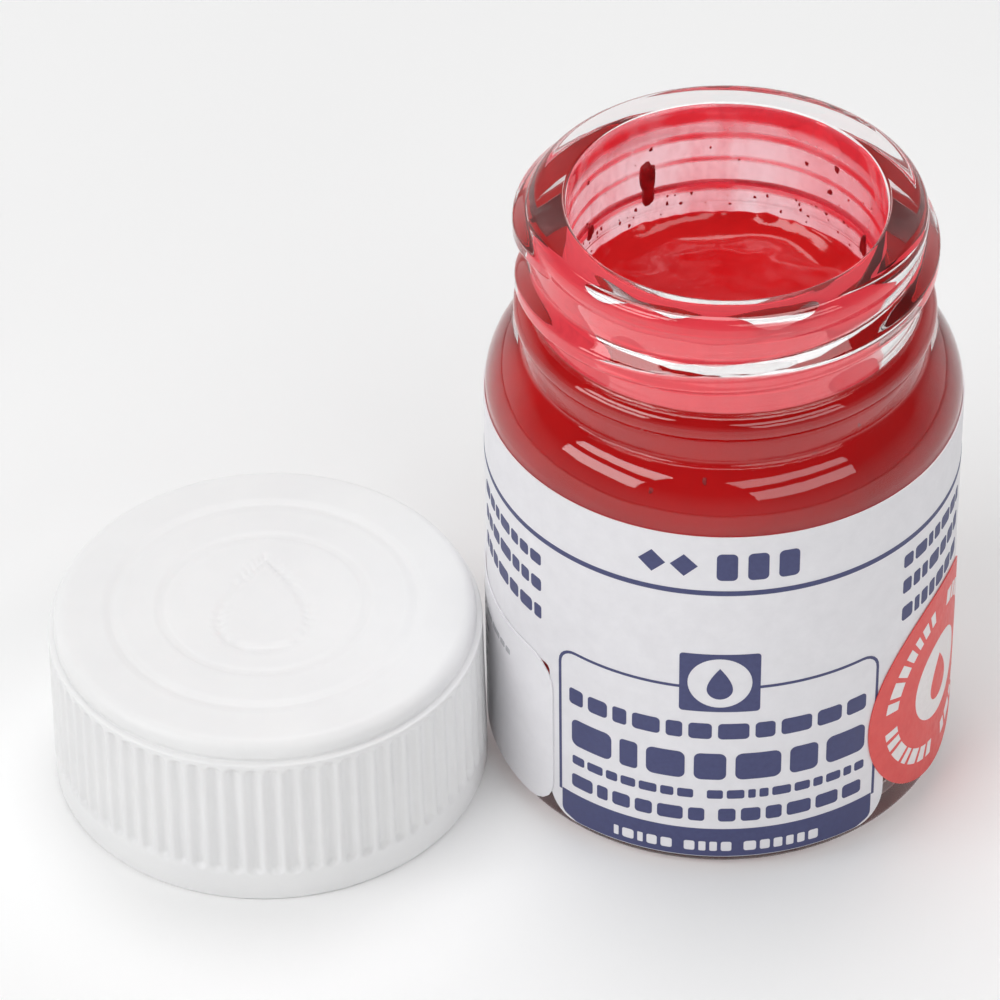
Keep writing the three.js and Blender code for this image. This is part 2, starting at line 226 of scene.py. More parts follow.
def rounded_loop(corners, steps=6):
    """The same for a closed outline."""
    padded = [corners[-1][:2], *corners, corners[0][:2]]
    return rounded(padded, steps)[1:-1]


def subdivided(points, longest):
    """The path with no stretch longer than the given length."""
    finer = [points[0]]
    for (x0, y0), (x1, y1) in zip(points, points[1:]):
        count = max(1, math.ceil(math.dist((x0, y0), (x1, y1)) / longest - 1e-6))
        for i in range(1, count + 1):
            finer.append((x0 + (x1 - x0) * i / count, y0 + (y1 - y0) * i / count))
    return finer


def even_turns(count):
    return np.arange(count) * 360 / count


def revolve(profile, turns, shape=None, closed=False):
    """Vertices and faces of a turned body from (r, z) pairs that run up the outside.

    turns are its columns' angles. shape(r, z, turns) may move the points of each ring.
    closed joins the last ring to the first, as on a tube with no middle.
    """
    count = len(turns)
    sines, cosines = np.sin(np.radians(turns)), np.cos(np.radians(turns))
    vertices, rings = [], []
    for r, z in profile:
        first = len(vertices)
        if r < 1e-6:
            vertices.append((0, 0, z))
            rings.append([first])
            continue
        radius, height = np.full(count, float(r)), np.full(count, float(z))
        if shape:
            radius, height = shape(radius, height, turns)
        vertices.extend(zip(radius * sines, -radius * cosines, height))
        rings.append(list(range(first, first + count)))
    pairs = list(zip(rings, rings[1:]))
    if closed:
        pairs.append((rings[-1], rings[0]))
    faces = []
    for low, high in pairs:
        for j in range(count):
            k = (j + 1) % count
            if len(low) == 1:
                faces.append((low[0], high[k], high[j]))
            elif len(high) == 1:
                faces.append((low[j], low[k], high[0]))
            else:
                faces.append((low[j], low[k], high[k], high[j]))
    return vertices, faces


def smooth_step(t):
    t = np.clip(t, 0, 1)
    return t * t * (3 - 2 * t)


def soft_ramp(t, soft=0.22):
    """A straight rise from 0 to 1 with its two corners rounded."""
    def area(value):
        return np.where(value < 0, 0, np.where(value < 1, value * value / 2, value - 0.5))
    return (area(t + soft) - area(t - soft)) / (2 * soft)


def ridge_height(z, turns, low_z, from_turn, to_turn, root_width, crest_width, fade):
    """How far a helical ridge stands up at each point, from 0 to 1. low_z is its height at the front."""
    height = np.zeros_like(z)
    for winding in (-1, 0, 1):
        along = turns / 360 + winding
        ends = np.minimum(along - from_turn, to_turn - along) / fade
        lift = np.sin(np.clip(ends, 0, 1) * math.pi / 2)
        width = 0.4 + 0.6 * lift
        off = np.abs(z - (low_z + along * PITCH))
        across = (root_width / 2 * width - off) / ((root_width - crest_width) / 2 * width)
        height = np.maximum(height, lift * soft_ramp(across))
    return height


def add_piece(name, body, geometry, material, axis, sharp=40):
    """A smooth-shaded mesh object from vertices in millimetres about an axis."""
    vertices, faces = geometry
    mesh = bpy.data.meshes.new(name)
    mesh.from_pydata([(x * MM, y * MM, z * MM) for x, y, z in vertices], [], faces)
    mesh.validate()
    mesh.materials.append(material)
    mesh.shade_smooth()
    mesh.set_sharp_from_angle(angle=math.radians(sharp))
    obj = bpy.data.objects.new(name, mesh)
    bpy.context.scene.collection.objects.link(obj)
    obj.location = axis
    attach(obj, body)
    return obj


def wrapped_sheet(outlines, inner_r, thickness):
    """Vertices and faces of flat outlines bent round the jar and given a thickness.

    Each outline is a list of loops of (s, z) points, the first its edge and the others holes.
    s is measured on the paper's surface, so it turns into the same angle at every radius.
    """
    bm = bmesh.new()
    for loops in outlines:
        flat = [[Vector((s, z, 0)) for s, z in loop] for loop in loops]
        corners = [bm.verts.new(point) for loop in flat for point in loop]
        for triangle in tessellate_polygon(flat):
            bm.faces.new([corners[i] for i in triangle])
    across = [v.co.x for v in bm.verts]
    for k in range(math.ceil(min(across) / STRIP), math.ceil(max(across) / STRIP)):
        everything = bm.verts[:] + bm.edges[:] + bm.faces[:]
        bmesh.ops.bisect_plane(
            bm, geom=everything, dist=1e-5, plane_co=(k * STRIP, 0, 0), plane_no=(1, 0, 0)
        )
    bmesh.ops.recalc_face_normals(bm, faces=bm.faces)
    if sum(face.normal.z for face in bm.faces) > 0:
        bmesh.ops.reverse_faces(bm, faces=bm.faces)
    made = bmesh.ops.extrude_face_region(bm, geom=bm.faces[:])["geom"]
    for v in made:
        if isinstance(v, bmesh.types.BMVert):
            v.co.z = thickness
    bmesh.ops.recalc_face_normals(bm, faces=bm.faces)
    bm.verts.index_update()
    vertices = []
    for v in bm.verts:
        turn, radius = v.co.x / PAPER_R, inner_r + v.co.z
        vertices.append((radius * math.sin(turn), -radius * math.cos(turn), v.co.y))
    faces = [[v.index for v in face.verts] for face in bm.faces]
    bm.free()
    return vertices, faces


def at_turn(degrees):
    """The s of an angle."""
    return math.radians(degrees) * PAPER_R


def joined(*geometries):
    """Several sets of vertices and faces as one."""
    vertices, faces = [], []
    for more_vertices, more_faces in geometries:
        start = len(vertices)
        vertices.extend(more_vertices)
        faces.extend([[i + start for i in face] for face in more_faces])
    return vertices, faces


# ------------------------------ materials

class Tree:
    """The empty node tree of a material or a world, with short ways to add to it."""

    def __init__(self, owner, output="OutputMaterial"):
        owner.use_nodes = True
        self.nodes, self.links = owner.node_tree.nodes, owner.node_tree.links
        self.nodes.clear()
        self.output = self.new(output)

    def new(self, kind):
        return self.nodes.new("ShaderNode" + kind)

    def link(self, source, target):
        self.links.new(source, target)

    def surface(self, shader):
        self.link(shader.outputs[0], self.output.inputs["Surface"])

    def coordinates(self, kind):
        """The X, Y and Z of one of the Texture Coordinate node's outputs."""
        split = self.new("SeparateXYZ")
        self.link(self.new("TexCoord").outputs[kind], split.inputs[0])
        return [split.outputs[axis] for axis in "XYZ"]

    def principled(self, **values):
        """A Principled node with the named sockets set; _ stands for a space in a name."""
        shader = self.new("BsdfPrincipled")
        for name, value in values.items():
            shader.inputs[name.replace("_", " ")].default_value = value
        return shader

    def noise(self, scale, detail=4.0, roughness=0.55, stretch=(1, 1, 1), seed=0.0):
        """Noise over the object's own coordinates; scale is its repeats per metre."""
        place = self.new("TexCoord")
        mapping = self.new("Mapping")
        mapping.inputs["Location"].default_value = (seed, seed * 0.7, seed * 1.3)
        mapping.inputs["Scale"].default_value = stretch
        texture = self.new("TexNoise")
        texture.inputs["Scale"].default_value = scale
        texture.inputs["Detail"].default_value = detail
        texture.inputs["Roughness"].default_value = roughness
        self.link(place.outputs["Object"], mapping.inputs["Vector"])
        self.link(mapping.outputs["Vector"], texture.inputs["Vector"])
        return texture.outputs["Fac"]

    def ramp(self, factor, stops):
        """A colour ramp over a factor; stops are (position, colour or grey level)."""
        node = self.new("ValToRGB")
        elements = node.color_ramp.elements
        while len(elements) < len(stops):
            elements.new(0.5)
        for element, (position, colour) in zip(elements, stops):
            element.position = position
            grey = isinstance(colour, (int, float))
            element.color = (colour, colour, colour, 1) if grey else (*colour, 1)
        self.link(factor, node.inputs["Fac"])
        return node.outputs["Color"]

    def vary(self, factor, low, high, shader, socket="Base Color"):
        """Takes a socket from one value to another as a noise rises through its middle range."""
        self.link(self.ramp(factor, [(0.3, low), (0.7, high)]), shader.inputs[socket])

    def bump(self, height, strength, distance, shader):
        """Makes a shader's surface uneven by a height; distance is in metres."""
        node = self.new("Bump")
        node.inputs["Strength"].default_value = strength
        node.inputs["Distance"].default_value = distance
        self.link(height, node.inputs["Height"])
        self.link(node.outputs["Normal"], shader.inputs["Normal"])

    def map_range(self, value, source, target):
        """Maps a value from one range to another, smoothly at the ends."""
        node = self.new("MapRange")
        node.interpolation_type = "SMOOTHSTEP"
        limits = ("From Min", "From Max", "To Min", "To Max")
        for name, limit in zip(limits, (*source, *target)):
            node.inputs[name].default_value = limit
        self.link(value, node.inputs["Value"])
        return node.outputs[0]

    def combined(self, operation, first, second):
        node = self.new("Math")
        node.operation = operation
        self.link(first, node.inputs[0])
        self.link(second, node.inputs[1])
        return node

    def add(self, first, second):
        """The sum of two values, held between 0 and 1."""
        node = self.combined("ADD", first, second)
        node.use_clamp = True
        return node.outputs[0]

    def multiply(self, first, second):
        return self.combined("MULTIPLY", first, second).outputs[0]

    def mix(self, share, first, second):
        """Two shaders mixed by a share, given as a number or a socket."""
        node = self.new("MixShader")
        if isinstance(share, float):
            node.inputs[0].default_value = share
        else:
            self.link(share, node.inputs[0])
        self.link(first.outputs[0], node.inputs[1])
        self.link(second.outputs[0], node.inputs[2])
        return node

    def coloured(self, kind, colour):
        """A plain shader of the given kind and colour."""
        shader = self.new("Bsdf" + kind)
        shader.inputs["Color"].default_value = (*colour, 1)
        return shader

    def lets_lamps_through(self, shader, share):
        """A shader whose shadow is only partly dark: each face passes a share of a lamp's light."""
        clear = self.coloured("Transparent", (share, share, share))
        return self.mix(self.new("LightPath").outputs["Is Shadow Ray"], shader, clear)


def new_material(name):
    """A material and its empty node tree."""
    material = bpy.data.materials.new(name)
    return material, Tree(material)


def ring_stops(rings, half=0.01, soft=0.035):
    """Ramp stops that are 0 but for thin rings, given as (place, level)."""
    stops = []
    for place, level in rings:
        stops += [(place - half - soft, 0.0), (place - half, level)]
        stops += [(place + half, level), (place + half + soft, 0.0)]
    return stops


def glass_material():
    """Clear pressed glass. Lamps shine through it, so that what it holds is lit evenly."""
    material, tree = new_material("clear_glass")
    glass = tree.principled(
        Base_Color=(1, 1, 1, 1), Roughness=0.0, IOR=1.5, Transmission_Weight=1.0,
        Coat_Weight=0.4, Coat_IOR=1.55, Coat_Roughness=0.0,
    )
    waves = tree.noise(260, detail=2)
    tree.bump(waves, 0.12, 0.0004, glass)
    tree.surface(tree.lets_lamps_through(glass, 0.98))
    return material


def paint_material(name, tones, specular, roughness):
    """Gouache: opaque scarlet with faint swirls in three tones of pigment, dark to light."""
    material, tree = new_material(name)
    paint = tree.principled(Specular_IOR_Level=specular)
    swirl = tree.noise(120, stretch=(1, 1.6, 1.2))
    colour = tree.ramp(swirl, list(zip((0.25, 0.5, 0.75), tones)))
    tree.link(colour, paint.inputs["Base Color"])
    fine = tree.noise(500, detail=3, seed=4)
    gloss = tree.ramp(fine, [(0.3, roughness * 0.7), (0.75, roughness * 1.3)])
    tree.link(gloss, paint.inputs["Roughness"])
    uneven = tree.noise(330, detail=5, roughness=0.6, seed=7)
    tree.bump(uneven, 0.06, 0.0004, paint)
    tree.surface(paint)
    return material


def paint_under_glass_with_painted_shade():
    """Deeper in colour against the glass, partly from the wet contact and partly by painted shade: its
    tones are darker than the open surface's. It reflects almost nothing of its own.
    """
    # Painted shade, in part: these tones are darker than those of the open surface.
    tones = [(0.34, 0.001, 0.0015), (0.4, 0.0015, 0.002), (0.45, 0.0025, 0.0035)]
    return paint_material("paint_under_glass_with_painted_shade", tones, 0.02, 0.2)


def paint_open_surface():
    """Glossy and lighter where it meets the air; the copy of this paint under the glass is darker, partly
    by painted shade.
    """
    tones = [(0.5, 0.004, 0.005), (0.6, 0.008, 0.01), (0.68, 0.014, 0.016)]
    return paint_material("paint_open_surface", tones, 0.6, 0.09)


def film_share(tree):
    """How much of the film is paint: dense in front, patchy elsewhere, and with four rings of uneven
    strength that are painted refraction lines of the outer thread and bead.
    """
    x, y, z = tree.coordinates("Object")
    dense = tree.map_range(y, (0.0055, -0.0035), (0.0, 0.72))
    patches = tree.noise(170, detail=5, roughness=0.6, stretch=(1, 1, 0.5))
    patchy = tree.ramp(patches, [(0.36, 0.02), (0.5, 0.12), (0.72, 0.5)])
    at_right = tree.map_range(x, (0.001, 0.01), (0.0, 0.3))
    patchy = tree.add(patchy, at_right)
    near_rim = tree.map_range(z, (0.0405, 0.043), (0.0, 0.3))
    patchy = tree.add(patchy, near_rim)
    height = tree.map_range(z, (0.034, 0.044), (0.0, 1.0))
    # Painted refraction lines: rings of denser film where the outer thread and bead show through the glass.
    rings = tree.ramp(height, ring_stops([(0.212, 0.75), (0.54, 0.6), (0.8, 0.7), (0.95, 0.8)]))
    ring_break = tree.noise(220, detail=3, stretch=(1, 1, 0.3), seed=2)
    rings = tree.multiply(rings, tree.ramp(ring_break, [(0.35, 0.35), (0.62, 1.0)]))
    return tree.add(tree.add(dense, patchy), rings)


def film_material():
    """Paint washed over the inside of the neck: coral where it is dense, and pale pink where it is thin."""
    material, tree = new_material("paint_film")
    front = tree.coloured("Diffuse", (0.95, 0.1, 0.14))
    through = tree.coloured("Translucent", (0.98, 0.12, 0.17))
    wash = tree.mix(0.5, front, through)
    bare = tree.coloured("Transparent", (1, 0.88, 0.91))
    tree.surface(tree.mix(film_share(tree), bare, wash))
    return material


def dried_paint_material():
    """Dark, dull paint with a crust."""
    material, tree = new_material("dried_paint")
    paint = tree.principled(Roughness=0.5)
    crust = tree.noise(1500)
    tree.vary(crust, (0.16, 0.002, 0.004), (0.36, 0.004, 0.008), paint)
    tree.bump(crust, 0.4, 0.0003, paint)
    tree.surface(paint)
    return material


def smear_material():
    """Half-dry coral paint."""
    material, tree = new_material("smeared_paint")
    paint = tree.principled(Roughness=0.35)
    streaks = tree.noise(800)
    tree.vary(streaks, (0.68, 0.02, 0.024), (0.82, 0.05, 0.055), paint)
    tree.bump(streaks, 0.2, 0.0001, paint)
    tree.surface(paint)
    return material


def paper_material(name, low, high, roughness):
    """Coated paper: a faint mottle in colour and gloss, and the fibres' slight unevenness."""
    material, tree = new_material(name)
    paper = tree.principled()
    mottle = tree.noise(700, detail=5, roughness=0.65)
    tree.vary(mottle, low, high, paper)
    fibres = tree.noise(2600, detail=3, stretch=(1, 1, 0.6), seed=9)
    tree.vary(fibres, roughness - 0.06, roughness + 0.08, paper, "Roughness")
    tree.bump(fibres, 0.08, 0.00004, paper)
    tree.surface(tree.lets_lamps_through(paper, 0.7))
    return material


def ink_material(name, low, high):
    """Printed ink: a dense colour that lies a little unevenly."""
    material, tree = new_material(name)
    ink = tree.principled()
    grain = tree.noise(3000)
    tree.vary(grain, low, high, ink)
    tree.vary(grain, 0.42, 0.58, ink, "Roughness")
    tree.surface(ink)
    return material


def plastic_material():
    """White moulded polypropylene: slightly translucent, satin, with a faint flow mottle."""
    material, tree = new_material("cap_plastic")
    plastic = tree.principled(
        IOR=1.49, Subsurface_Weight=0.04, Subsurface_Scale=0.0005, Subsurface_Radius=(1.0, 0.95, 0.9)
    )
    flow = tree.noise(120)
    tree.vary(flow, (0.84, 0.84, 0.845), (0.88, 0.88, 0.88), plastic)
    satin = tree.noise(5200, detail=2, seed=3)
    tree.vary(satin, 0.38, 0.5, plastic, "Roughness")
    tree.bump(satin, 0.1, 0.00003, plastic)
    tree.surface(plastic)
    return material


def foam_material():
    """White foam with fine cells."""
    material, tree = new_material("liner_foam")
    foam = tree.principled(Roughness=0.6)
    cells = tree.noise(2400, detail=3)
    tree.vary(cells, (0.8, 0.8, 0.77), (0.88, 0.88, 0.85), foam)
    tree.bump(cells, 0.15, 0.0001, foam)
    tree.surface(foam)
    return material


def floor_material():
    """A pale matt floor with a faint cloudiness."""
    material, tree = new_material("pale_floor")
    floor = tree.principled(Roughness=0.7, Specular_IOR_Level=0.2)
    cloud = tree.noise(6, detail=3)
    tree.vary(cloud, (0.96, 0.96, 0.96), (0.975, 0.975, 0.975), floor)
    tree.surface(floor)
    return material


# ------------------------------ camera, light and floor

CAMERA_AT = (-0.029, -272.566, 249.917)  # millimetres, from the model's origin
CAMERA_DOWN = 40.15  # degrees below level
CAMERA_ROLL = 0.016  # radians
LENS = 194.4  # focal length on a 36 mm sensor
STRIP_LIGHT_ELEVATIONS = (29, 51)
FLOOR_HALF = 1.5  # metres
FLOOR_GAP = 0.02


def make_camera():
    """A long lens that looks down on the pair from in front."""
    data = bpy.data.cameras.new("camera")
    data.lens = LENS
    data.sensor_width = 36
    data.clip_start, data.clip_end = 0.01, 10
    camera = bpy.data.objects.new("camera", data)
    bpy.context.scene.collection.objects.link(camera)
    camera.location = Vector(CAMERA_AT) * MM
    tilt = Matrix.Rotation(math.radians(90 - CAMERA_DOWN), 3, "X")
    camera.rotation_euler = (tilt @ Matrix.Rotation(-CAMERA_ROLL, 3, "Z")).to_euler()
    bpy.context.scene.camera = camera
    bpy.context.scene.view_settings.view_transform = "Standard"


def make_softbox(name, turn, elevation, distance, width, height, radiance):
    """A rectangular lamp that faces the object from an angle and an elevation, in metres."""
    data = bpy.data.lights.new(name, "AREA")
    data.shape = "RECTANGLE"
    data.size, data.size_y = width, height
    data.energy = radiance * math.pi * width * height
    lamp = bpy.data.objects.new(name, data)
    bpy.context.scene.collection.objects.link(lamp)
    level = math.cos(math.radians(elevation))
    away = Vector((
        level * math.sin(math.radians(turn)),
        -level * math.cos(math.radians(turn)),
        math.sin(math.radians(elevation)),
    ))
    middle_of_object = Vector((0, 0, 0.02))
    lamp.location = away * distance + middle_of_object
    lamp.rotation_euler = away.to_track_quat("Z", "Y").to_euler()


def make_lights():
    """Two strip lights one above the other on each side, and a softbox above the back."""
    for elevation in STRIP_LIGHT_ELEVATIONS:
        make_softbox(f"left_strip_{elevation}", -62, elevation, 0.6, 0.42, 0.145, 4.5)
        make_softbox(f"right_strip_{elevation}", 38, elevation, 0.6, 0.48, 0.145, 2.35)
    make_softbox("overhead_softbox", 180, 70, 0.7, 0.4, 0.4, 3.5)


def make_surroundings():
    """A pale room: bright low down, dark above, and with a bright wall at the back."""
    world = bpy.data.worlds.new("studio")
    bpy.context.scene.world = world
    tree = Tree(world, "OutputWorld")
    background = tree.new("Background")
    _, y, z = tree.coordinates("Generated")
    low = tree.ramp(z, [(0.0, 0.5), (0.25, 0.34), (0.5, 0.12), (1.0, 0.1)])
    behind = tree.map_range(y, (0.1, 0.7), (0.0, 0.6))
    above = tree.map_range(z, (0.4, 0.8), (0.0, -0.6))
    back = tree.add(behind, above)
    tree.link(tree.add(low, back), background.inputs["Color"])
    tree.surface(background)


def make_floor():
    """A wide plain floor, just under what stands on it."""
    corners = [(x * FLOOR_HALF, y * FLOOR_HALF, 0) for x, y in ((-1, -1), (1, -1), (1, 1), (-1, 1))]
    mesh = bpy.data.meshes.new("floor")
    mesh.from_pydata(corners, [], [(0, 1, 2, 3)])
    mesh.materials.append(floor_material())
    floor = bpy.data.objects.new("floor", mesh)
    bpy.context.scene.collection.objects.link(floor)
    floor.location.z = -FLOOR_GAP * MM


# ------------------------------ the glass jar

def shoulder_line():
    """The outside of the shoulder, as a quarter of a superellipse."""
    angles = np.radians(np.linspace(0, SHOULDER_END, 26))
    out = np.cos(angles) ** (2 / SHOULDER_POWER)
    up = np.sin(angles) ** (2 / SHOULDER_POWER)
    radii = NECK_ROOT_R + (BODY_R - NECK_ROOT_R) * out
    return list(zip(radii, BODY_TOP_Z + (SHOULDER_TOP_Z - BODY_TOP_Z) * up))


def jar_outside():
    """The outer face from the middle of the underside up over the lip and into the bore."""
    bead_half = (BEAD_HIGH_Z - BEAD_LOW_Z) / 2
    bead = arc(BEAD_R - bead_half, BEAD_LOW_Z + bead_half, bead_half, bead_half, -60, 84, 16)
    return rounded([
        (0, PUSH_UP),
        (FOOT_INNER_R - 1, PUSH_UP, 1.2),
        (FOOT_INNER_R, 0, 0.4),
        (BODY_R, 0, HEEL_R),
        *shoulder_line(),
        (NECK_ROOT_R - 0.05, SHOULDER_TOP_Z + 0.1, 0.35),
        (NECK_ROOT_R, BEAD_LOW_Z - 0.1, 0.3),
        *bead,
        (NECK_R, BEAD_HIGH_Z + 0.03, 0.3),
        (NECK_R, JAR_H - LIP_ROUND - 0.9, 0.6),
        (LIP_R, JAR_H - LIP_ROUND - 0.3, 0.4),
        (LIP_R, JAR_H, LIP_ROUND),
        (BORE_R, JAR_H, BORE_ROUND),
        (BORE_R, JAR_H - 2 * BORE_ROUND),
    ], steps=8)


def inner_radius(z):
    """The radius of the jar's inner face at a height, from its wall up to its bore."""
    share = (INNER_SHOULDER_HIGH_Z - z) / (INNER_SHOULDER_HIGH_Z - INNER_SHOULDER_LOW_Z)
    share = min(max(share, 0), 1)
    return (BORE_R + INNER_R) / 2 - (INNER_R - BORE_R) / 2 * math.cos(share * math.pi)


def bore_radius(z):
    """The same with the rounded edge of the mouth."""
    above = max(0, z - (JAR_H - BORE_ROUND))
    return inner_radius(z) + BORE_ROUND - math.sqrt(max(0, BORE_ROUND ** 2 - above ** 2))


def jar_inside(inset):
    """The inner face from the bore down to the middle of the floor, moved in by an inset."""
    heights = np.linspace(INNER_SHOULDER_HIGH_Z, INNER_SHOULDER_LOW_Z, 25)
    points = [(inner_radius(z) - inset, z) for z in heights]
    corner = FLOOR_ROUND - inset
    points += arc(INNER_R - FLOOR_ROUND, FLOOR_Z + FLOOR_ROUND, corner, corner, 0, -90, 8)
    points.append((0, FLOOR_Z + inset))
    return points


def with_thread(r, z, turns):
    """Raises the helical thread out of the neck."""
    height = ridge_height(
        z, turns, THREAD_FRONT_Z, THREAD_START_TURN, THREAD_END_TURN,
        THREAD_ROOT_WIDTH, THREAD_CREST_WIDTH, THREAD_FADE,
    )
    root = NECK_R - 0.02
    crest = root + (THREAD_CREST_R - root) * height
    outer = (r > NECK_R - 0.3) & (height > 0)
    return np.where(outer, np.maximum(r, crest), r), z


def make_glass(material):
    """The jar in one turned shell, with finer rings up the neck, where the thread is."""
    outside, inside = jar_outside(), jar_inside(0)
    neck_start = next(i for i, (_, z) in enumerate(outside) if z > SHOULDER_TOP_Z)
    neck_end = next(i for i, (_, z) in enumerate(outside) if z > JAR_H - LIP_ROUND)
    profile = (
        subdivided(outside[:neck_start + 1], 0.8)
        + subdivided(outside[neck_start:neck_end + 1], 0.13)[1:]
        + subdivided(outside[neck_end:] + inside, 0.8)[1:]
    )
    glass = add_piece(
        "jar_glass", "jar", revolve(profile, even_turns(GLASS_COLUMNS), with_thread),
        material, JAR_AXIS, sharp=80,
    )
    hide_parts("glass_jar")


# ------------------------------ the paint

def noise_at(*places):
    """Smooth noise of about -1 to 1 at points given as three rows or numbers: x, y and z."""
    return np.array([noise.noise(Vector(place)) for place in np.broadcast(*places)])


def paint_relief(r, z, turns):
    """Slow swells and stirring marks on the paint's surface, and a ragged edge against the glass."""
    x, y = r * np.sin(np.radians(turns)), -r * np.cos(np.radians(turns))
    away_from_edge = inner_radius(PAINT_Z) - 0.3 - r
    free = smooth_step(away_from_edge / 1.5) * (z > PAINT_Z - 0.01)
    swell = 0.22 * noise_at(x * 0.16, y * 0.28, 3.0)
    stir = 0.05 * noise_at(x * 0.5, y * 0.9, 8.0)
    climb = smooth_step((z - PAINT_Z - 0.6 * MENISCUS) / (0.4 * MENISCUS))
    ragged = EDGE_RAGGED * noise_at(x * 1.1, y * 1.1, 4.0)
    return r, z + free * (swell + stir) + climb * ragged


def make_paint(under_glass, open_surface):
    """The settled paint: darker against the glass, partly by painted shade, and glossy on top."""
    wall = [point for point in reversed(jar_inside(-WETTING)) if point[1] < PAINT_Z]
    edge_z = PAINT_Z + MENISCUS
    edge_r = inner_radius(edge_z) + WETTING
    rim = [(inner_radius(PAINT_Z) + WETTING, PAINT_Z), (edge_r, edge_z)]
    surface = []
    steps = 60
    for i in range(1, steps):
        r = edge_r * (1 - i / steps)
        surface.append((r, PAINT_Z + MENISCUS * math.exp((r - edge_r) / MENISCUS_W)))
    profile = subdivided(wall, 1.0) + rim + surface + [(0, PAINT_Z)]
    paint = add_piece(
        "gouache", "jar", revolve(profile, even_turns(180), paint_relief),
        under_glass, JAR_AXIS, sharp=60,
    )
    paint.data.materials.append(open_surface)
    for face in paint.data.polygons:
        face.material_index = int(face.normal.z > 0.5 and face.center.z > (PAINT_Z - 1) * MM)
    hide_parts("paint_fill")


def film_lie(r, z, turns):
    """Draws the film down from the rim at the front, and lets it touch the glass in patches.

    Where it touches, mostly near the rim, it sinks in a little, so that it shows from every side.
    """
    base = PAINT_Z + MENISCUS
    places = np.radians(turns)
    to_right, to_front = np.sin(places), np.cos(places)
    wave = noise_at(to_right * 2, to_front * 2, 5.0)
    drop = FILM_DROP * smooth_step(0.35 + 0.65 * to_front) * (1 + 0.8 * wave)
    lower = z - drop * (z - base) / (FILM_TOP_Z - base)
    depth = r - np.array([bore_radius(level) for level in z])
    spots = noise_at(to_right * 2.6, to_front * 2.6, lower * 0.35)
    at_sides = to_right ** 4
    near_rim = smooth_step((lower - 40.3) / 1.6)
    touch = smooth_step(spots * 4 - 0.9 + (2.0 + at_sides) * near_rim + 0.6 * at_sides)
    glass = np.array([bore_radius(level) for level in lower])
    return glass + depth + FILM_SINK * touch, lower


def make_film(material):
    """The wash left on the inside of the neck, as a thin sleeve just inside the glass."""
    heights = np.linspace(PAINT_Z + MENISCUS - 0.25, FILM_TOP_Z, 80)
    outer = [(bore_radius(z) - FILM_GAP, z) for z in heights]
    inner = [(bore_radius(z) - FILM_GAP - FILM_THICKNESS, z) for z in reversed(heights)]
    add_piece(
        "neck_film", "jar",
        revolve(outer + inner, even_turns(240), film_lie, closed=True), material, JAR_AXIS,
    )


def uneven_circle(count, seed):
    """(angle, radius) pairs round a blob, whose radii swing about 1 in a few waves."""
    rng = random.Random(seed)
    waves = [(n, size, rng.uniform(0, 6.3)) for n, size in ((2, 0.1), (3, 0.12), (5, 0.07), (8, 0.04))]
    angles = [2 * math.pi * k / count for k in range(count)]
    return [(a, 1 + sum(size * math.cos(n * a + phase) for n, size, phase in waves)) for a in angles]


def squarish(value):
    """A cosine or sine pushed outward, for an outline between a circle and a square."""
    return math.copysign(abs(value) ** 0.7, value)


def wall_dab(turn, z, width, height, thickness, seed, radius_at=inner_radius, side=-1):
    """A blob of dried paint on the inside of the neck (side -1) or on the outside (side 1)."""
    count = 30
    levels = [(1.0, -0.4), (1.0, 0.0), (0.88, 0.7), (0.5, 1.0)]
    outline = uneven_circle(count, seed)
    vertices, faces = [], []
    for reach, lift in levels:
        for a, far in outline:
            across = squarish(math.cos(a)) * width / 2 * far * reach
            up = z + squarish(math.sin(a)) * height / 2 * far * reach
            radius = radius_at(up) + side * thickness * lift
            place = math.radians(turn) + across / BORE_R
            vertices.append((radius * math.sin(place), -radius * math.cos(place), up))
    for level in range(len(levels) - 1):
        for k in range(count):
            a, b = level * count + k, level * count + (k + 1) % count
            face = (a, a + count, b + count, b)
            faces.append(face if side < 0 else face[::-1])
    bottom = list(range(count))
    top = list(reversed(range((len(levels) - 1) * count, len(levels) * count)))
    faces += [bottom, top] if side < 0 else [bottom[::-1], top[::-1]]
    return vertices, faces


def make_flakes(material):
    """Flakes and specks of dried paint on the inner wall."""
    rng = random.Random(11)
    dabs = [wall_dab(*flake) for flake in FLAKES]
    for seed in range(SPECKS):
        size = rng.uniform(0.07, 0.24)
        z = rng.uniform(35.6, 41) if seed < SPECKS_HIGH_UP else rng.uniform(35.2, 36.9)
        dabs.append(wall_dab(rng.uniform(95, 265), z, size, size * rng.uniform(0.7, 1.6), 0.05, seed))
    add_piece("paint_flakes", "jar", joined(*dabs), material, JAR_AXIS)


def make_lumps(material):
    """Lumps of pigment against the glass of the shoulder."""
    lumps = []
    for seed, (turn, z) in enumerate(SHOULDER_LUMPS):
        lumps.append(wall_dab(turn, z, 0.2, 0.3, 0.06, seed, lambda up: inner_radius(up) + WETTING, 1))
    add_piece("paint_lumps", "jar", joined(*lumps), material, JAR_AXIS, sharp=180)


def make_smear(material):
    """A smear of paint on the outside of the neck, left of the back, under the lip."""
    smear = wall_dab(-113, 42.0, 3.6, 1.5, 0.05, 21, lambda up: NECK_R, 1)
    add_piece("neck_smear", "jar", smear, material, JAR_AXIS)


# ------------------------------ labels and print

LABEL_S = at_turn(LABEL_TURN)
LABEL_END = math.pi * PAPER_R - SEAM_GAP / 2
PANEL_HALF = PANEL_WIDTH / 2 * PAPER_R / LABEL_INNER_R
PANEL_LEFT, PANEL_RIGHT = LABEL_S - PANEL_HALF, LABEL_S + PANEL_HALF

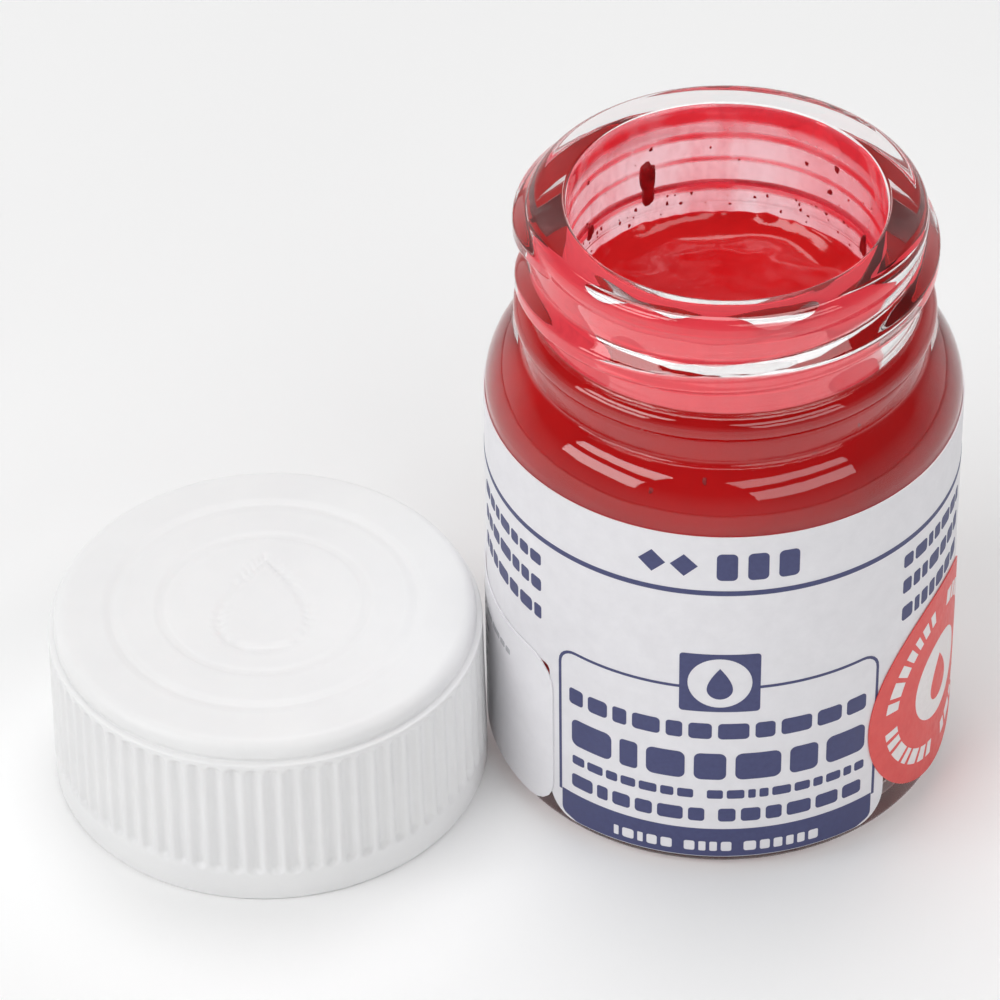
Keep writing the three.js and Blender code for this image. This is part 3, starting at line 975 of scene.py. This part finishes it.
# Print on the wrap label, in the same (s, z)
LINE_Z = 24.07
LINE_W = 0.4
LOZENGES_S = (-5.25, -3.15)
LOZENGE_Z = 26.27
LOZENGE_REACH = 0.9
MARKS_S = (-1.05, 0.95, 2.95)
MARK_W = 1.35
MARK_LOW_Z, MARK_TOP_Z = 25.15, 27.35
SIDE_ROWS_Z = [(21.65, 22.6), (19.45, 20.5), (17.1, 18.2)]
FRAME_LEFT, FRAME_RIGHT = -12.1, 10.5
FRAME_LOW_Z, FRAME_TOP_Z = 3.3, 15.95
FRAME_CORNER_R = 1.3
FRAME_HALF_W = 0.11
EMBLEM_LEFT, EMBLEM_RIGHT = -3.35, 1.93
EMBLEM_LOW_Z, EMBLEM_TOP_Z = 13.9, 18.86
FOOT_LEFT, FOOT_RIGHT = -11.95, 10.35
FOOT_TOP_Z = 3.45

# The panel's rows of bars: left, right, low, high, bars in each word, gap, seed
PANEL_ROWS = [
    (-11.3, 9.6, 11.5, 12.85, [11], 0.4, 51),
    (-11.1, 9.6, 7.9, 10.2, [7], 0.6, 52),
    (-11.05, 9.6, 6.2, 6.95, [7, 10], 0.25, 53),
    (-11.1, 9.4, 4.15, 5.3, [6, 6], 0.35, 54),
]


def make_wrap_label(material):
    """The band round the jar, with the panel that hangs below it in front."""
    outline = rounded_loop([
        (-LABEL_END, BAND_LOW_Z),
        (PANEL_LEFT, BAND_LOW_Z, 0.5),
        (PANEL_LEFT, PANEL_LOW_Z, PANEL_CORNER_R),
        (PANEL_RIGHT, PANEL_LOW_Z, PANEL_CORNER_R),
        (PANEL_RIGHT, BAND_LOW_Z, 0.5),
        (LABEL_END, BAND_LOW_Z),
        (LABEL_END, LABEL_TOP_Z),
        (-LABEL_END, LABEL_TOP_Z),
    ], steps=10)
    label = add_piece(
        "label_sheet", "jar", wrapped_sheet([[outline]], LABEL_INNER_R, PAPER),
        material, JAR_AXIS,
    )
    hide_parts("wrap_label")


def box_outline(left, right, low, high, radius):
    """A box with round corners."""
    corners = [(left, low, radius), (right, low, radius), (right, high, radius), (left, high, radius)]
    return rounded_loop(corners, steps=5)


def disc_outline(s, z, radius, steps=48):
    angles = [2 * math.pi * k / steps for k in range(steps)]
    return [(s + radius * math.cos(a), z + radius * math.sin(a)) for a in angles]


def drop_outline(s, z, radius):
    """A paint drop with its round end centred on a point and its tip above.

    Each flank is a quadratic curve from the tip to the side of the round end.
    """
    tip, pull, steps = 2.1, 0.8, 8
    flank = []
    for i in range(1, steps):
        t = i / steps
        x = radius * (2 * t * (1 - t) + t * t)
        y = radius * (tip * (1 - t) ** 2 + 2 * pull * t * (1 - t))
        flank.append((x, y))
    left = [(s - x, z + y) for x, y in flank]
    right = [(s + x, z + y) for x, y in reversed(flank)]
    below = np.radians(np.linspace(180, 360, 25))
    end = [(s + radius * math.cos(a), z + radius * math.sin(a)) for a in below]
    return [(s, z + radius * tip), *left, *end, *right]


def arc_strip(s, z, radius, width, start, end):
    """An outline along a stretch of a circle."""
    far, near = radius + width / 2, radius - width / 2
    return arc(s, z, far, far, start, end, 4) + arc(s, z, near, near, end, start, 4)


def word_bars(left, right, low, high, words, gap=0.25, space=0.9, seed=1):
    """A row of plain bars of uneven widths in place of words. words gives the bars in each word."""
    rng = random.Random(seed)
    shares = [[rng.uniform(0.55, 1.5) for _ in range(count)] for count in words]
    room = right - left - gap * (sum(words) - len(words)) - space * (len(words) - 1)
    unit = room / sum(sum(word) for word in shares)
    outlines, s = [], left
    for word in shares:
        for share in word:
            width = share * unit
            radius = min(width, high - low) * 0.22
            outlines.append([box_outline(s, s + width, low, high, radius)])
            s += width + gap
        s += space - gap
    return outlines


def top_marks():
    """The line right round the label, and above it the lozenges and bars in place of a colour number."""
    low, high = LINE_Z - LINE_W / 2, LINE_Z + LINE_W / 2
    outlines = [[[(-LABEL_END, low), (LABEL_END, low), (LABEL_END, high), (-LABEL_END, high)]]]
    reach = LOZENGE_REACH
    for s in LOZENGES_S:
        z = LOZENGE_Z
        outlines.append([[(s - reach, z), (s, z - reach), (s + reach, z), (s, z + reach)]])
    outlines += [[box_outline(s, s + MARK_W, MARK_LOW_Z, MARK_TOP_Z, 0.35)] for s in MARKS_S]
    return outlines


def side_rows():
    """Three rows of bars on each side of the panel."""
    outlines = []
    for row, (low, high) in enumerate(SIDE_ROWS_Z):
        outlines += word_bars(-22.6, -13.85, low, high, [7], seed=30 + row)
        outlines += word_bars(12.6, 20.9, low + 0.1, high + 0.2, [7], seed=40 + row)
    return outlines


def frame_line():
    """The thin line round the panel: open below, and broken at the top for the emblem."""
    top, radius = FRAME_TOP_Z, FRAME_CORNER_R
    outlines = []
    for start, stop, half in ((FRAME_LEFT, -3.2, FRAME_HALF_W), (FRAME_RIGHT, 1.8, -FRAME_HALF_W)):
        outer = rounded([
            (start - half, FRAME_LOW_Z),
            (start - half, top + FRAME_HALF_W, radius + FRAME_HALF_W),
            (stop, top + FRAME_HALF_W),
        ])
        inner = rounded([
            (start + half, FRAME_LOW_Z),
            (start + half, top - FRAME_HALF_W, radius - FRAME_HALF_W),
            (stop, top - FRAME_HALF_W),
        ])
        outlines.append([outer + list(reversed(inner))])
    return outlines


def panel_emblem():
    """A square with a round hole and a drop in it."""
    s, z = (EMBLEM_LEFT + EMBLEM_RIGHT) / 2, (EMBLEM_LOW_Z + EMBLEM_TOP_Z) / 2
    square = box_outline(EMBLEM_LEFT, EMBLEM_RIGHT, EMBLEM_LOW_Z, EMBLEM_TOP_Z, 0.25)
    return [[square, disc_outline(s, z, 2.1)], [drop_outline(s, z - 0.53, 0.85)]]


def panel_foot():
    """The solid band along the panel's lower edge, with the bars left out of it."""
    low = PANEL_LOW_Z
    band = rounded_loop([
        (FOOT_LEFT, FOOT_TOP_Z),
        (FOOT_LEFT, low + 0.5, 0.6),
        (FOOT_LEFT + 1.2, low + 0.05, 0.8),
        (FOOT_RIGHT - 1.2, low + 0.05, 0.8),
        (FOOT_RIGHT, low + 0.5, 0.6),
        (FOOT_RIGHT, FOOT_TOP_Z),
    ], steps=4)
    bars = word_bars(-7.8, 6.2, 1.45, 2.3, [5, 4, 6], space=0.8, seed=55)
    return [[band, *(bar[0] for bar in bars)]]


def label_print():
    """Everything printed in navy on the wrap label. Bars and plain shapes stand for the words."""
    outlines = top_marks() + side_rows() + frame_line() + panel_emblem()
    for left, right, low, high, words, gap, seed in PANEL_ROWS:
        outlines += word_bars(left, right, low, high, words, gap=gap, seed=seed)
    return outlines + panel_foot()


def make_label_print(material):
    add_piece(
        "label_print", "jar", wrapped_sheet(label_print(), PAPER_R - INK_BITE, INK),
        material, JAR_AXIS,
    )


def make_side_label(material, ink):
    """The plain sticker on the left, with a few rows of grey bars."""
    right = at_turn(SIDE_LABEL_RIGHT_TURN)
    left = right - SIDE_LABEL_WIDTH * PAPER_R / LABEL_INNER_R
    outline = box_outline(left, right, SIDE_LABEL_LOW_Z, SIDE_LABEL_TOP_Z, SIDE_LABEL_CORNER_R)
    label = add_piece(
        "side_label_sheet", "jar", wrapped_sheet([[outline]], STICKER_INNER_R, PAPER),
        material, JAR_AXIS,
    )
    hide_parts("side_label")
    rows = word_bars(left + 3, at_turn(-64), 11.3, 11.75, [6, 4], gap=0.2)
    for z in (9.6, 8.2, 6.8, 5.4):
        rows += word_bars(left + 3, left + 9 + z * 0.3, z, z + 0.45, [5, 3], gap=0.2)
    add_piece(
        "side_label_print", "jar",
        wrapped_sheet(rows, STICKER_OUTER_R - INK_BITE, INK), ink, JAR_AXIS,
    )


def sticker_print():
    """A ring of dashes, and a disc with a drop left out of it."""
    s, z = at_turn(ROUND_STICKER_TURN), ROUND_STICKER_Z
    outlines = []
    rng = random.Random(8)
    for start, stop in ((-80, 80), (100, 175), (188, 262)):
        while start < stop:
            sweep = rng.uniform(5, 12)
            outlines.append([arc_strip(s, z, 5.9, 1.15, start, min(start + sweep, stop))])
            start += sweep + 3.5
    outlines.append([disc_outline(s, z, 3.3, 64), drop_outline(s, z - 0.75, 1.25)])
    return outlines


def make_round_sticker(material, white):
    outline = disc_outline(at_turn(ROUND_STICKER_TURN), ROUND_STICKER_Z, ROUND_STICKER_R, 96)
    sticker = add_piece(
        "round_sticker_disc", "jar", wrapped_sheet([[outline]], STICKER_INNER_R, PAPER),
        material, JAR_AXIS,
    )
    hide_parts("round_sticker")
    add_piece(
        "round_sticker_print", "jar",
        wrapped_sheet(sticker_print(), STICKER_OUTER_R - INK_BITE, INK), white, JAR_AXIS,
    )


# ------------------------------ the cap

def groove_depth(z, turns):
    """How deep the grip grooves are at each point of the cap's side, in millimetres."""
    spacing = 360 / CAP_RIBS
    across = ((turns / spacing) % 1 - 0.5) * math.radians(spacing) * CAP_R
    low = CAP_BAND_H + RIB_GROOVE_END_GAP + RIB_GROOVE_W / 2
    high = CAP_RIBS_TOP_Z - RIB_GROOVE_END_GAP - RIB_GROOVE_W / 2
    beyond = np.maximum(0, np.maximum(z - high, low - z))
    depth = 1.15 * (1 - np.hypot(across, beyond) / (RIB_GROOVE_W / 2))
    return RIB_GROOVE_DEPTH * smooth_step(depth)


def drop_distance(x, y):
    """Distance from a point on the cap's top to the outline of its drop."""
    outline = np.array(drop_outline(0, -DROP_R * 0.55, DROP_R))
    start, end = outline, np.roll(outline, -1, axis=0)
    along = end - start
    px, py = np.asarray(x)[:, None] - start[:, 0], np.asarray(y)[:, None] - start[:, 1]
    t = np.clip((px * along[:, 0] + py * along[:, 1]) / (along ** 2).sum(1), 0, 1)
    return np.hypot(px - t * along[:, 0], py - t * along[:, 1]).min(1)


def cap_surface(r, z, turns):
    """The grooves round the outside, the sunk lines of the top and the thread inside."""
    outer = (r > CAP_BORE_R + 0.3) & (z > CAP_BAND_H) & (z < CAP_RIBS_TOP_Z - 0.14)
    r = np.where(outer, r - groove_depth(z, turns), r)
    top = z > CAP_H - 0.01
    if top.any():
        x, y = r * np.sin(np.radians(turns)), -r * np.cos(np.radians(turns))
        off = drop_distance(x, y)
        for ring_r in EMBLEM_RINGS_R:
            off = np.minimum(off, np.abs(r - ring_r))
        sunk = smooth_step((EMBLEM_LINE / 2 + EMBLEM_SOFT - off) / (2 * EMBLEM_SOFT))
        z = z - top * EMBLEM_DEPTH * sunk
    bore = (r > LINER_RING_R) & (r < CAP_BORE_R + 0.1) & (z > 0.5) & (z < CAP_DEPTH - 0.8)
    height = ridge_height(
        z, turns, CAP_THREAD_LOW_Z, 0, CAP_THREAD_TURNS,
        CAP_THREAD_ROOT_WIDTH, CAP_THREAD_CREST_WIDTH, THREAD_FADE,
    )
    return np.where(bore, r - (CAP_BORE_R - CAP_THREAD_CREST_R) * height, r), z


def cap_inside():
    """From the middle of the hollow down its threaded wall, and round the mouth to the band."""
    panel_z, recess_r = CAP_H - CAP_PANEL, LINER_R + 0.1
    line = rounded([
        (0, panel_z),
        (recess_r, panel_z, 0.2),
        (recess_r, CAP_DEPTH + 0.2, 0.15),
        (LINER_RING_R, CAP_DEPTH, 0.1),
        (LINER_RING_R, CAP_DEPTH - 0.3, 0.1),
        (CAP_BORE_R, CAP_DEPTH - 0.6, 0.3),
        (CAP_BORE_R, 0, 0.3),
        (CAP_R, 0, 0.25),
        (CAP_R, CAP_BAND_H - 0.3),
    ], steps=4)
    first = next(i for i, (r, _) in enumerate(line) if r > CAP_BORE_R - 0.01)
    last = next(i for i, (_, z) in enumerate(line) if i > first and z < 0.6)
    threaded = subdivided(line[first:last + 1], 0.3)
    return subdivided(line[:first + 1], 2.5) + threaded[1:] + line[last + 1:]


def cap_side():
    """The band and the grooved wall, with finer rings where the grooves end."""
    low, high = CAP_BAND_H, CAP_RIBS_TOP_Z - 0.15
    fine, end = 0.08, 0.9
    levels = [low + k * fine for k in range(int(end / fine) + 1)]
    levels += list(np.linspace(low + end, high - end, 8))[1:-1]
    levels += [high - end + k * fine for k in range(int(end / fine) + 1)]
    side = []
    for z in levels:
        share = (z - low) / (high - low)
        side.append((CAP_R + (CAP_RIBS_TOP_R - CAP_R) * share, z))
    return side


def cap_top():
    """Round the top edge and in to the middle, with fine rings for the sunk lines."""
    line = rounded([
        (CAP_RIBS_TOP_R, CAP_RIBS_TOP_Z - 0.15),
        (CAP_RIBS_TOP_R, CAP_RIBS_TOP_Z + 0.02, 0.12),
        (CAP_EDGE_R - 0.12, CAP_RIBS_TOP_Z + 0.05, 0.12),
        (CAP_EDGE_R, CAP_RIBS_TOP_Z + 0.35, 0.2),
        (CAP_EDGE_R - 0.03, CAP_H, CAP_EDGE_ROUND),
        (0, CAP_H),
    ], steps=7)
    return line[1:-2] + subdivided(line[-2:], 0.32)


def make_cap(material):
    turns = (np.arange(CAP_RIBS)[:, None] + np.array(RIB_OFFSETS)).ravel() * 360 / CAP_RIBS
    profile = cap_inside() + cap_side() + cap_top()
    cap = add_piece(
        "cap_shell", "cap", revolve(profile, turns, cap_surface),
        material, CAP_AXIS, sharp=60,
    )
    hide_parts("screw_cap")


def make_liner(material):
    """The foam disc in the cap, with the ring that the jar's rim has pressed into it."""
    face = rounded([
        (0, LINER_LOW_Z),
        (BORE_R, LINER_LOW_Z, 0.3),
        (BORE_R + 0.3, LINER_LOW_Z + 0.1, 0.2),
        (LIP_R - 0.3, LINER_LOW_Z + 0.1, 0.2),
        (LIP_R, LINER_LOW_Z, 0.1),
        (LINER_R, LINER_LOW_Z, 0.12),
        (LINER_R, LINER_HIGH_Z, 0.12),
        (0, LINER_HIGH_Z),
    ], steps=4)
    liner = add_piece(
        "liner_disc", "liner", revolve(subdivided(face, 1.5), even_turns(120)),
        material, CAP_AXIS,
    )
    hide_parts("cap_liner")


# ------------------------------ the scene

make_camera()
make_surroundings()
make_floor()
make_lights()

make_glass(glass_material())
make_paint(paint_under_glass_with_painted_shade(), paint_open_surface())
make_film(film_material())
dried_paint = dried_paint_material()
make_flakes(dried_paint)
make_lumps(dried_paint)
make_smear(smear_material())

make_wrap_label(paper_material("label_paper", (0.79, 0.78, 0.81), (0.84, 0.83, 0.86), 0.48))
navy = ink_material("navy_ink", (0.045, 0.05, 0.15), (0.06, 0.068, 0.18))
make_label_print(navy)
grey = ink_material("grey_ink", (0.42, 0.42, 0.45), (0.5, 0.5, 0.53))
make_side_label(paper_material("sticker_film", (0.84, 0.83, 0.86), (0.88, 0.87, 0.9), 0.35), grey)
coral = paper_material("coral_sticker", (0.74, 0.065, 0.06), (0.8, 0.085, 0.075), 0.4)
make_round_sticker(coral, ink_material("white_ink", (0.82, 0.78, 0.78), (0.88, 0.85, 0.85)))

make_cap(plastic_material())
make_liner(foam_material())

bpy.context.view_layer.update()
